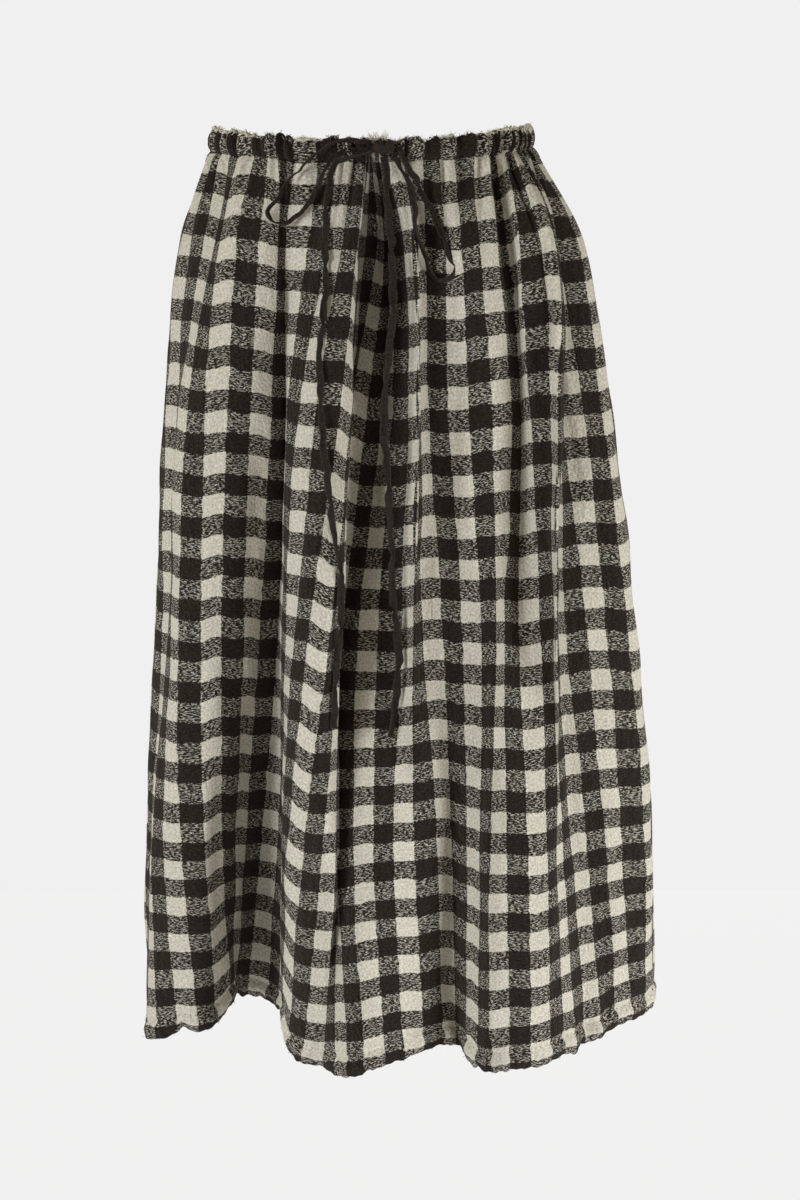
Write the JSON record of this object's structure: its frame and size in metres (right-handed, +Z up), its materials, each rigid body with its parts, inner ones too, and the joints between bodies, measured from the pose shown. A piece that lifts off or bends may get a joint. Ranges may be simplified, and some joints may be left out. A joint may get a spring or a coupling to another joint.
{
  "type": "midi skirt",
  "caption": "Gathered midi skirt in checked brushed wool, in its worn hollow form, with a drawstring casing tied in a bow and a narrow turned hem.",
  "frame": {"origin": "middle of the waist opening, level with the casing's top edge at the front, where a wearer holds the skirt", "axes": "+Z up through the waist opening, -Y towards the front with the bow, +X towards the skirt's right as seen from the front"},
  "size_m": [0.4447, 0.329, 0.7895],
  "materials": {
    "wool_check": "brushed wool twill in a cream and black-brown gingham check",
    "wool_casing": "the same brushed wool, gathered, with a frayed raw upper edge",
    "tape_cotton": "matt black-brown woven cotton tape"
  },
  "bodies": {
    "root": {"front_panel": "wool_check", "back_panel": "wool_check", "hem_front": "wool_check", "hem_back": "wool_check", "casing_front": "wool_casing", "casing_back": "wool_casing", "drawstring_in_casing": "tape_cotton", "bow_knot": "tape_cotton", "bow_loop_left": "tape_cotton", "bow_loop_right": "tape_cotton", "tie_end_left": "tape_cotton", "tie_end_right": "tape_cotton"}
  },
  "joints": []
}
